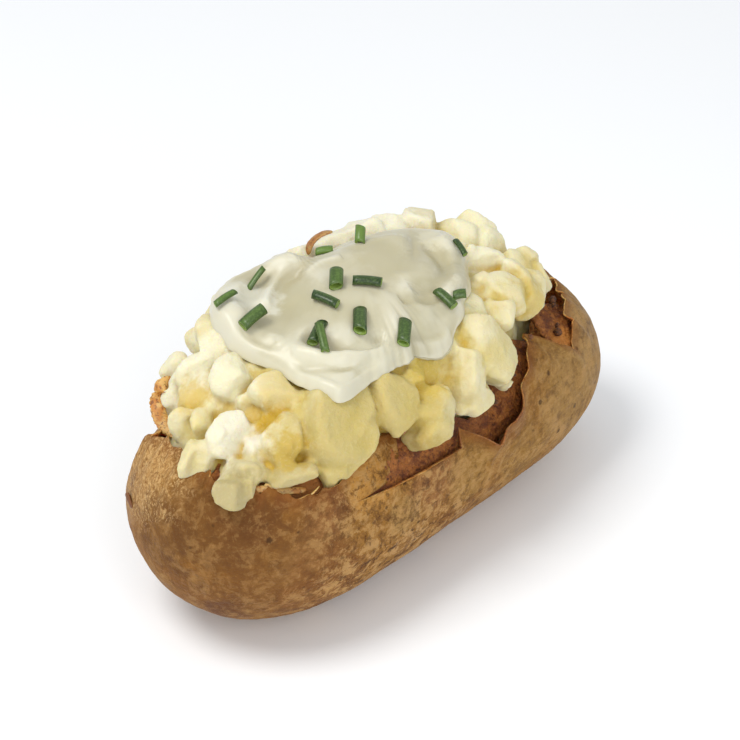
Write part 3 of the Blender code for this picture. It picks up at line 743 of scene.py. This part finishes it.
def build_jacket():
    azimuth, points, out = jacket_grid()
    tongue, foot = shape_cleft(azimuth, points, out)
    everything = np.concatenate([points.reshape(-1, 3), [[0, 0, 0]], foot])
    from_rim = np.full(len(everything), 60.0)
    steps = np.linalg.norm(np.diff(points, axis=0), axis=2)
    from_rim[:COLUMNS] = 0
    from_rim[COLUMNS:len(points) * COLUMNS] = np.cumsum(steps, 0).ravel()
    jacket = mesh_object("jacket", everything, jacket_faces(azimuth, len(points), tongue))
    store(jacket.data, "from_rim", from_rim)
    clean_loose_points(jacket.data)
    jacket.data.materials.append(skin_material())
    jacket.data.materials.append(torn_edge_material())
    displace(jacket, "unevenness", 14, 2, 0.7)
    displace(jacket, "dimples", 2.4, 3, 0.28)
    thicken_jacket(jacket)
    apply_modifiers(jacket)
    lifted = vertex_array(jacket.data)
    lifted[:, 2] = np.maximum(lifted[:, 2], 0.0)
    set_vertices(jacket.data, lifted)
    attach(jacket, "root")
    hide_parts("skin")


def build_browned_layer():
    """The browned flesh just under the skin, seen in the cleft and along the -Y rim."""
    azimuth = np.linspace(-172, -20, 260)
    steps = np.linspace(0, 1, 60)[:, None]
    rim = np.interp(azimuth, RIM[:, 0], RIM[:, 1])
    polar = rim - 10 + (np.maximum(rim + 10, 80) - rim + 10) * steps
    inset = 1.9 + 1.2 * smooth_step(0.6, 0.0, np.broadcast_to(steps, polar.shape))
    points = body_points(azimuth[None, :], polar, -inset)
    count = len(azimuth)
    corners = [row * count + column for row in range(len(steps) - 1) for column in range(count - 1)]
    faces = [(here, here + count, here + count + 1, here + 1) for here in corners]
    layer = mesh_object("browned_flesh", points.reshape(-1, 3), faces)
    layer.data.materials.append(browned_material())
    displace(layer, "crust", 1.3, 3, 1.3)
    add_shell(layer, 1.0)
    apply_modifiers(layer)
    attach(layer, "root")


# ================================================================ the flesh
def heap_point(azimuth, climb, grow=0.0):
    """A point of the heap's smooth surface and its normal."""
    level = math.cos(math.radians(climb))
    way = np.array((level * math.cos(math.radians(azimuth)), level * math.sin(math.radians(azimuth)),
                    math.sin(math.radians(climb))))
    reach = (np.abs(way) ** HEAP_SQUARENESS).sum() ** (-1 / HEAP_SQUARENESS)
    radii = HEAP_RADII + grow
    offset = radii * way * reach
    if offset[1] > 0:
        offset[1] *= 1 - HEAP_TUCK * float(smooth_step(-0.7, -0.4, way[0])) * (1 - way[2]) ** 2
    slope = np.copysign(np.abs(way) ** (HEAP_SQUARENESS - 1), way) / radii
    return Vector(HEAP_CENTRE + offset), Vector(slope).normalized()


def heap_heights(x, y):
    used = (np.abs((x - HEAP_CENTRE[0]) / HEAP_RADII[0]) ** HEAP_SQUARENESS
            + np.abs((y - HEAP_CENTRE[1]) / HEAP_RADII[1]) ** HEAP_SQUARENESS)
    return HEAP_CENTRE[2] + HEAP_RADII[2] * np.maximum(1 - used, 0.02) ** (1 / HEAP_SQUARENESS)


def chunk_frame(normal, tilt):
    """Axes of a chunk on the heap: across, up along the surface, and outwards."""
    across = UP.cross(normal).normalized()
    along = normal.cross(across)
    axes = Matrix((across, along, normal)).transposed()
    return np.array(axes @ Matrix.Rotation(math.radians(tilt), 3, "Z"))


def unit_ball(subdivisions):
    bm = bmesh.new()
    bmesh.ops.create_icosphere(bm, subdivisions=subdivisions, radius=1.0)
    points = np.array([v.co[:] for v in bm.verts])
    faces = [[v.index for v in f.verts] for f in bm.faces]
    bm.free()
    return points, faces


class ChunkPile(Pile):
    """A pile of broken, soft-cornered chunks."""

    def __init__(self, seed):
        super().__init__()
        self.chance = np.random.default_rng(seed)
        self.balls = {fineness: unit_ball(fineness) for fineness in (2, 3, 4)}

    def add_chunk(self, centre, axes, size, fineness=3):
        """A chunk with nearly flat faces and worn corners."""
        ball, faces = self.balls[fineness]
        sides = np.concatenate([np.eye(3), -np.eye(3)])
        facing = np.concatenate([sides + self.chance.normal(0, 0.3, (6, 3)),
                                 self.chance.normal(size=(CHUNK_CUTS, 3))])
        facing /= np.linalg.norm(facing, axis=1)[:, None]
        reach = self.chance.uniform(0.78, 1.0, len(facing))
        pull = (np.maximum(ball @ facing.T, 0) / reach) ** CHUNK_SHARPNESS
        radius = np.minimum(pull.sum(1) ** (-1 / CHUNK_SHARPNESS), 1.25)
        shape = ball * radius[:, None] * np.asarray(size) / 2
        self.add_part(np.asarray(centre) + shape @ np.asarray(axes).T, faces)

    def add_cluster(self, centre, axes, size, fineness, buds):
        """A chunk with smaller ones on it, so that it looks broken off."""
        size, axes = np.asarray(size), np.asarray(axes)
        self.add_chunk(centre, axes, size, fineness)
        for _ in range(buds):
            way = self.chance.normal(size=3)
            way[2] = abs(way[2]) * 0.6 - 0.3
            way /= np.linalg.norm(way)
            share = self.chance.uniform(0.25, 0.45)
            spot = np.asarray(centre) + axes @ (way * size / 2 * (1.0 - share * 0.5))
            turned = Matrix.Rotation(self.chance.uniform(-1, 1), 3, way.tolist())
            self.add_chunk(spot, np.array(turned) @ axes, size * share, fineness - 1)


def heap_block(ball):
    """The plain heap under the chunks: fuller under the cream, set back from the -Y side's skin."""
    azimuth = np.degrees(np.arctan2(ball[:, 1], ball[:, 0]))
    climb = np.degrees(np.arcsin(np.clip(ball[:, 2], -1, 1)))
    tongue = smooth_step(-130, -120, azimuth) * smooth_step(-84, -92, azimuth) * smooth_step(36, 22, climb)
    shelf = smooth_step(-66, -58, azimuth) * smooth_step(-24, -32, azimuth) * smooth_step(40, 28, climb)
    low = smooth_step(-92, -86, azimuth) * smooth_step(-18, -26, azimuth) * smooth_step(24, 12, climb)
    grow = (CREAM_BED * smooth_step(34, 46, climb) - HEAP_INSET
            - TONGUE_SPACE * tongue - SHELF_SPACE * np.maximum(shelf, low))
    return np.array([heap_point(a, max(c, -15.0), g)[0] for a, c, g in zip(azimuth, climb, grow)])


def smooth_difference(mesh, rounds):
    """How far each vertex lies under its smoothed surroundings, along its normal, in mm."""
    points, normals = vertex_array(mesh), vertex_array(mesh, "normal")
    edges = np.empty(len(mesh.edges) * 2, np.int32)
    mesh.edges.foreach_get("vertices", edges)
    first, second = edges.reshape(-1, 2).T
    count = len(points)
    degree = np.bincount(first, minlength=count) + np.bincount(second, minlength=count)
    smooth = points.copy()
    for _ in range(rounds):
        total = np.stack([np.bincount(first, smooth[second, i], count)
                          + np.bincount(second, smooth[first, i], count) for i in range(3)], -1)
        smooth = 0.5 * smooth + 0.5 * total / degree[:, None]
    return ((smooth - points) * normals).sum(1) / MM


def under_cream(point, margin):
    """Whether a point lies under the dollop, more than the margin inside its outline."""
    step = np.array(point[:2]) - CREAM_MIDDLE
    reach = cream_radii(math.atan2(step[1], step[0]) % math.tau)
    return math.hypot(*step) < reach - margin


def in_gap(azimuth, climb):
    """Whether no loose chunk goes there: the tongue, the +Y rim, the -X end's corner, the shelf."""
    tongue = -124 < azimuth < -88 and climb < 26
    far_rim = 48 < azimuth < 92 and climb < 44
    corner = 118 < azimuth < 168 and climb < 38
    shelf = -63 < azimuth < -26 and climb < 33
    return tongue or far_rim or corner or shelf


def place_chunks(pile, chance):
    """Puts the chunks that stand out on the pile; returns where they are and their reach."""
    first, last, number, climb, size, depth = RIDGE
    ridge = []
    for azimuth in np.linspace(first, last, number):
        height = climb + chance.uniform(-3, 3)
        ridge.append((azimuth, height, size * chance.uniform(0.8, 1.1), size, size * 0.9, 0, depth))
    taken = []
    for azimuth, climb, width, height, thickness, tilt, depth in (*CHUNKS, *ridge):
        point, normal = heap_point(azimuth, climb)
        spot = np.array(point - normal * depth)
        pile.add_cluster(spot, chunk_frame(normal, tilt), (width, height, thickness), 4, 1)
        taken.append((point, max(width, height) / 2))
    return taken


def fill_between(pile, chance, taken):
    """Smaller chunks between them, where there is room and no cream."""
    for _ in range(FILLER_TRIES):
        azimuth = chance.uniform(-180, 180)
        climb = math.degrees(math.asin(chance.uniform(0.2, 0.97)))
        if in_gap(azimuth, climb):
            continue
        point, normal = heap_point(azimuth, climb)
        if under_cream(point, 5.0):
            continue
        width = 5 + 11 * chance.random() ** 1.8
        size = (width, width * chance.uniform(1.0, 1.7), width * chance.uniform(0.7, 1.0))
        reach = max(size) / 2
        spacing = 0.42 if azimuth > -20 else 0.72
        if any((point - other).length < (reach + far) * spacing for other, far in taken):
            continue
        spot = np.array(point - normal * size[2] * 0.34)
        pile.add_cluster(spot, chunk_frame(normal, chance.uniform(-40, 40)), size, 3, 2)
        taken.append((point, reach))


def strew_bits(pile, chance):
    """Small bits all over the heap."""
    for _ in range(BIT_TRIES):
        azimuth = chance.uniform(-180, 180)
        climb = math.degrees(math.asin(chance.uniform(0.1, 0.97)))
        if in_gap(azimuth, climb):
            continue
        point, normal = heap_point(azimuth, climb)
        size = [chance.uniform(2.5, 6.0) for _ in range(3)]
        depth = chance.uniform(0.2, 2.4)
        pile.add_chunk(point - normal * depth, chunk_frame(normal, chance.uniform(-60, 60)), size, 2)


def merge_and_roughen(flesh):
    """Merges the chunks into one body of flesh and gives it a broken, mealy surface."""
    merge = flesh.modifiers.new("merge", "REMESH")
    merge.mode = "VOXEL"
    merge.voxel_size = FLESH_VOXEL * MM
    merge.use_smooth_shade = True
    relax = flesh.modifiers.new("soften", "SMOOTH")
    relax.iterations = 2
    relax.factor = 0.5
    displace(flesh, "broken", 7.0, 2, 0.9)
    displace(flesh, "mealy", 1.5, 2, 0.5)
    apply_modifiers(flesh)


def build_flesh():
    pile = ChunkPile(23)
    chance = random.Random(7)
    ball, faces = unit_ball(5)
    pile.add_part(heap_block(ball), faces)
    taken = place_chunks(pile, chance)
    fill_between(pile, chance, taken)
    strew_bits(pile, chance)
    flesh = pile.build("fluffed_flesh")
    merge_and_roughen(flesh)
    flesh.data.materials.append(flesh_material())
    # depth under the smoothed surface, which the material turns into painted shade and highlight
    hollow = smooth_difference(flesh.data, 60) + 0.5 * smooth_difference(flesh.data, 400)
    store(flesh.data, "hollow", hollow)
    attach(flesh, "root")
    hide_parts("flesh")
    return flesh


# ================================================================ the sour cream
def cream_radii(turn):
    """Distance from the dollop's middle to its outline, in each direction of the plan."""
    steps = CREAM_OUTLINE - CREAM_MIDDLE
    angles = np.arctan2(steps[:, 1], steps[:, 0]) % math.tau
    order = np.argsort(angles)
    return np.interp(turn, angles[order], np.hypot(*steps[order].T), period=math.tau)


def cream_relief(x, y):
    total = np.zeros_like(x)
    for middle_x, middle_y, half_length, half_width, turn, height, steepness in CREAM_FORMS:
        cosine, sine = math.cos(math.radians(turn)), math.sin(math.radians(turn))
        along = ((x - middle_x) * cosine + (y - middle_y) * sine) / half_length
        beside = ((y - middle_y) * cosine - (x - middle_x) * sine) / half_width
        total += height * np.exp(-(along ** 2 + beside ** 2) ** steepness)
    for fold in CREAM_FOLDS:
        total += fold_relief(x, y, *fold)
    return total


def drop_on(things, x, y):
    """Height in mm of the highest of the things under each place, or of the heap."""
    trees = []
    for thing in things:
        bm = bmesh.new()
        bm.from_mesh(thing.data)
        trees.append(BVHTree.FromBMesh(bm))
        bm.free()
    heights = heap_heights(x, y) - 6.0
    for index in np.ndindex(x.shape):
        start = Vector((x[index], y[index], 200)) * MM
        for tree in trees:
            hit = tree.ray_cast(start, -UP)[0]
            if hit:
                heights[index] = max(heights[index], hit.z / MM)
    return heights


def settle(heights, rounds):
    """Evens out heights on the dollop's grid of rings and spokes."""
    for _ in range(rounds):
        across = np.concatenate([heights[:1], heights, heights[-1:]])
        along = (np.roll(heights, 1, 1) + np.roll(heights, -1, 1)) / 2
        heights = 0.4 * heights + 0.3 * along + 0.15 * (across[:-2] + across[2:])
    return heights


def rounded_line(line):
    """The line with its corners cut three times over."""
    line = np.array(line, float)
    for _ in range(3):
        cut = np.stack([line[:-1] * 0.75 + line[1:] * 0.25, line[:-1] * 0.25 + line[1:] * 0.75], 1)
        line = np.concatenate([line[:1], cut.reshape(-1, line.shape[1]), line[-1:]])
    return line


def fold_relief(x, y, line, left, right, height):
    """Height that one fold adds: a ridge or groove that fades out at its two ends."""
    line = rounded_line(line)
    way = np.gradient(line, axis=0)
    way /= np.linalg.norm(way, axis=1)[:, None]
    away = np.stack([x[..., None] - line[:, 0], y[..., None] - line[:, 1]], -1)
    distance = np.linalg.norm(away, axis=-1)
    nearest = distance.argmin(-1)
    near = np.take_along_axis(distance, nearest[..., None], -1)[..., 0]
    offset = np.take_along_axis(away, nearest[..., None, None], -2)[..., 0, :]
    heading = way[nearest]
    on_left = heading[..., 0] * offset[..., 1] - heading[..., 1] * offset[..., 0] > 0
    share = nearest / (len(line) - 1)
    fade = smooth_step(0, 0.22, share) * smooth_step(1, 0.78, share)
    width = np.where(on_left, left, right)
    return height * fade * np.exp(-(near / width) ** 2)


def cream_plan():
    """The dollop's grid, ring by ring over the top and back under it: x, y and distance from the edge."""
    turn = np.linspace(0, math.tau, CREAM_SPOKES, endpoint=False)
    radius = cream_radii(turn)
    for _ in range(5):
        radius = (np.roll(radius, 1) + 2 * radius + np.roll(radius, -1)) / 4
    radius = radius + 0.35 * wave_noise(np.degrees(turn), 24, 8) + 0.2 * wave_noise(np.degrees(turn), 9, 9)
    over = np.sin(np.linspace(0, math.pi / 2, CREAM_RINGS + 1)[1:])[:, None]
    under = np.sin(np.linspace(math.pi / 2, 0, CREAM_UNDER_RINGS + 1)[1:-1])[:, None]
    out = np.concatenate([over, under])
    x = CREAM_MIDDLE[0] + radius * out * np.cos(turn)
    y = CREAM_MIDDLE[1] + radius * out * np.sin(turn)
    return x, y, radius * (1 - out)


def cream_heights(flesh, x, y, from_edge):
    ground = np.maximum(settle(drop_on([flesh], x, y), 140), heap_heights(x, y) - 0.5)
    dome = CREAM_LIP + (CREAM_DEPTH - CREAM_LIP + cream_relief(x, y)) * smooth_step(-2.5, 7.0, from_edge)
    dome += 0.7 * np.exp(-((from_edge - 1.6) / 1.3) ** 2)
    rounding = (1 - (1 - np.clip(from_edge / 1.3, 0, 1)) ** 2) ** 0.5
    is_over = np.arange(len(x))[:, None] < CREAM_RINGS
    seat = CREAM_SEAT * smooth_step(0, 6, from_edge)
    return np.where(is_over, ground + rounding * dome, ground - seat - 0.3 * rounding)


def build_cream(flesh):
    x, y, from_edge = cream_plan()
    rings = np.stack([x, y, cream_heights(flesh, x, y, from_edge)], -1)
    top = [*CREAM_MIDDLE, rings[0, :, 2].mean()]
    low = [*CREAM_MIDDLE, rings[-1, :, 2].mean()]
    count = len(rings) * CREAM_SPOKES
    last = count - CREAM_SPOKES
    points = np.concatenate([rings.reshape(-1, 3), [top, low]])
    faces = [(a, d, c, b) for a, b, c, d in ring_quads(len(rings), CREAM_SPOKES)]
    for spoke in range(CREAM_SPOKES):
        after = (spoke + 1) % CREAM_SPOKES
        faces += [(count, spoke, after), (last + spoke, count + 1, last + after)]
    cream = mesh_object("cream_dollop", points, faces)
    # depth in the creases, which the material turns into painted shade and highlight
    store(cream.data, "hollow", smooth_difference(cream.data, 160))
    cream.data.materials.append(cream_material())
    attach(cream, "root")
    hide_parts("sour_cream")
    return cream


# ================================================================ chives
def chive_material():
    """Chopped chives: dark green with lengthwise streaks, paler inside and at the cuts."""
    paint = Paint("chive")
    shade = paint.attribute("shade")
    inner = paint.attribute("inner")
    grain = paint.noise(0.5, 2, 0.5)
    colour = paint.mix(shade, srgb(36, 60, 18), srgb(104, 134, 52))
    colour = paint.tint(colour, grain, 0.4, 0.7, 0.25, (130, 160, 84))
    colour = paint.mix(inner, colour, srgb(142, 168, 76))
    return paint.finish(colour, 0.34, paint.bump(grain, 0.06, 0.5), 0.15, (0.6, 0.9, 0.3))


def chive_tube(chance, length, width, shade):
    """Points, faces, shade and inside share of one short hollow tube along X."""
    around, along, flatness, wall = 20, 7, 0.78, 0.32
    angle = np.linspace(0, math.tau, around, endpoint=False)
    slant = chance.uniform(-0.35, 0.35, 2)
    streak = chance.uniform(-0.16, 0.16, around) + 0.10 * np.sin(angle * 2 + chance.uniform(0, 6))
    places = np.linspace(-0.5, 0.5, along)
    rings = []
    for radius, order in ((width / 2, places), (width / 2 - wall, places[::-1])):
        for place in order:
            lean = slant[0] if place < 0 else slant[1]
            x = place * length + radius * np.cos(angle) * lean * abs(place) * 2
            bow = 0.25 * (1 - 4 * place ** 2)
            rings.append(np.stack([x, radius * np.cos(angle), radius * flatness * np.sin(angle) + bow], -1))
    shades = np.tile(np.clip(shade + streak, 0, 1), 2 * along)
    inside = np.repeat((0.0, 1.0), along * around)
    return np.concatenate(rings), ring_quads(2 * along, around, looped=True), shades, inside


def build_chives(ground):
    """Short pieces lying on the cream and the flesh, each dropped on what is under it."""
    chance = np.random.default_rng(12)
    places = np.array([chive[:2] for chive in CHIVES], float)
    heights = drop_on(ground, places[:, 0], places[:, 1])
    pile, shades, insides = Pile(), [], []
    for (x, y, heading, rise, length, width, lift, shade), z in zip(CHIVES, heights):
        spots, quads, tone, inside = chive_tube(chance, length, width, shade)
        turn = Matrix.Rotation(math.radians(heading), 3, "Z") @ Matrix.Rotation(-math.radians(rise), 3, "Y")
        lift += 0.4 * length * abs(math.sin(math.radians(rise)))
        pile.add_part(spots @ np.array(turn).T + (x, y, z + width * 0.32 + lift), quads)
        shades.append(tone)
        insides.append(inside)
    chives = pile.build("chives")
    store(chives.data, "shade", np.concatenate(shades))
    store(chives.data, "inner", np.concatenate(insides))
    chives.data.materials.append(chive_material())
    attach(chives, "root")


# ================================================================ shreds and crumbs
def shred_material():
    """Thin torn skin: golden, browner where it is burnt."""
    paint = Paint("torn_shred")
    burnt = paint.attribute("burnt")
    patch = paint.noise(2.2, 4, 0.6)
    grain = paint.noise(0.7, 3, 0.6)
    colour = paint.mix(paint.ramp(patch, 0.4, 0.6), srgb(214, 146, 62), srgb(240, 196, 118))
    colour = paint.mix(paint.math("MULTIPLY", burnt, 0.9), colour, srgb(104, 58, 26))
    colour = paint.tint(colour, grain, 0.48, 0.36, 0.75, (120, 62, 24))
    normal = paint.bump(grain, 0.25, 0.7)
    return paint.finish(colour, 0.5, normal, 0.3, (2.0, 0.9, 0.3))


def crumb_material():
    paint = Paint("burnt_crumb")
    grain = paint.noise(0.6, 4, 0.7)
    colour = paint.mix(paint.ramp(grain, 0.4, 0.62), srgb(58, 30, 12), srgb(128, 76, 32))
    return paint.finish(colour, 0.7, paint.bump(grain, 0.3, 0.8), 0.05)


def strip(line, broad, width, thickness, chance):
    """Points and faces of a strip with uneven sides that narrows at its ends."""
    around = 10
    line = rounded_line(line)
    way = np.gradient(line, axis=0)
    way /= np.linalg.norm(way, axis=1)[:, None]
    side = np.array(broad, float) - (way @ np.array(broad, float))[:, None] * way
    side /= np.linalg.norm(side, axis=1)[:, None]
    face = np.cross(way, side)
    share = np.linspace(0, 1, len(line))
    taper = np.clip(np.minimum(share, 1 - share) * 5, 0.15, 1) ** 0.5
    half = width / 2 * taper * chance.uniform(0.9, 1.08, len(line))
    deep = thickness / 2 * taper
    turn = np.linspace(0, math.tau, around, endpoint=False)
    points = (line[:, None] + side[:, None] * (half[:, None] * np.cos(turn))[..., None]
              + face[:, None] * (deep[:, None] * np.sin(turn))[..., None]).reshape(-1, 3)
    ends = [tuple(range(around))[::-1], tuple(range(len(points) - around, len(points)))]
    return points, ends + ring_quads(len(line), around)


def build_shreds():
    chance = np.random.default_rng(5)
    pile, burnt = Pile(), []
    for line, broad, width, thickness, share in SHREDS:
        spots, faces = strip(line, broad, width, thickness, chance)
        pile.add_part(spots, faces)
        burnt.append(np.full(len(spots), share))
    shreds = pile.build("skin_shreds")
    store(shreds.data, "burnt", np.concatenate(burnt))
    shreds.data.materials.append(shred_material())
    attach(shreds, "root")


def build_crumbs():
    pile = ChunkPile(9)
    for x, y, z, size in CRUMBS:
        axes = chunk_frame(Vector(pile.chance.normal(size=3)).normalized(), 0)
        pile.add_chunk((x, y, z), axes, size * pile.chance.uniform(0.7, 1.2, 3), 2)
    crumbs = pile.build("burnt_crumbs")
    crumbs.data.materials.append(crumb_material())
    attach(crumbs, "root")


# ================================================================ stage
def build_camera():
    azimuth, elevation = math.radians(VIEW_AZIMUTH), math.radians(VIEW_ELEVATION)
    back = Vector((math.sin(azimuth) * math.cos(elevation), -math.cos(azimuth) * math.cos(elevation),
                   math.sin(elevation)))
    right = Vector((math.cos(azimuth), math.sin(azimuth), 0))
    rise = back.cross(right)
    camera = bpy.data.objects.new("camera", bpy.data.cameras.new("camera"))
    camera.data.lens = LENS
    camera.data.clip_start = 0.01
    place = VIEW_TARGET + back * VIEW_DISTANCE + right * VIEW_SHIFT[0] + rise * VIEW_SHIFT[1]
    camera.location = place * MM
    camera.rotation_euler = back.to_track_quat("Z", "Y").to_euler()
    bpy.context.scene.collection.objects.link(camera)
    bpy.context.scene.camera = camera


def add_light(name, place, size, power, colour=(1, 1, 1)):
    light = bpy.data.lights.new(name, "AREA")
    light.shape = "DISK"
    light.size = size * MM
    light.energy = power
    light.color = colour
    thing = bpy.data.objects.new(name, light)
    thing.location = Vector(place) * MM
    thing.rotation_euler = (Vector(place) - Vector((0, 0, 35))).to_track_quat("Z", "Y").to_euler()
    bpy.context.scene.collection.objects.link(thing)


def build_stage():
    world = bpy.data.worlds.new("studio")
    world.use_nodes = True
    world.node_tree.nodes["Background"].inputs["Color"].default_value = (0.95, 0.975, 1.0, 1)
    world.node_tree.nodes["Background"].inputs["Strength"].default_value = 0.68
    bpy.context.scene.world = world
    add_light("key", (-380, 100, 760), 380, 3.4, (1.0, 0.985, 0.96))
    add_light("fill", (-300, -600, 420), 500, 1.9)
    bpy.ops.mesh.primitive_plane_add(size=6)
    floor = bpy.context.object
    floor.name = "floor"
    paint = Paint("pale_floor")
    floor.data.materials.append(paint.finish((0.965, 0.975, 0.99), 0.7))
    bpy.context.scene.view_settings.view_transform = "Standard"


build_camera()
build_stage()
build_jacket()
build_browned_layer()
flesh = build_flesh()
cream = build_cream(flesh)
build_chives([flesh, cream])
build_shreds()
build_crumbs()
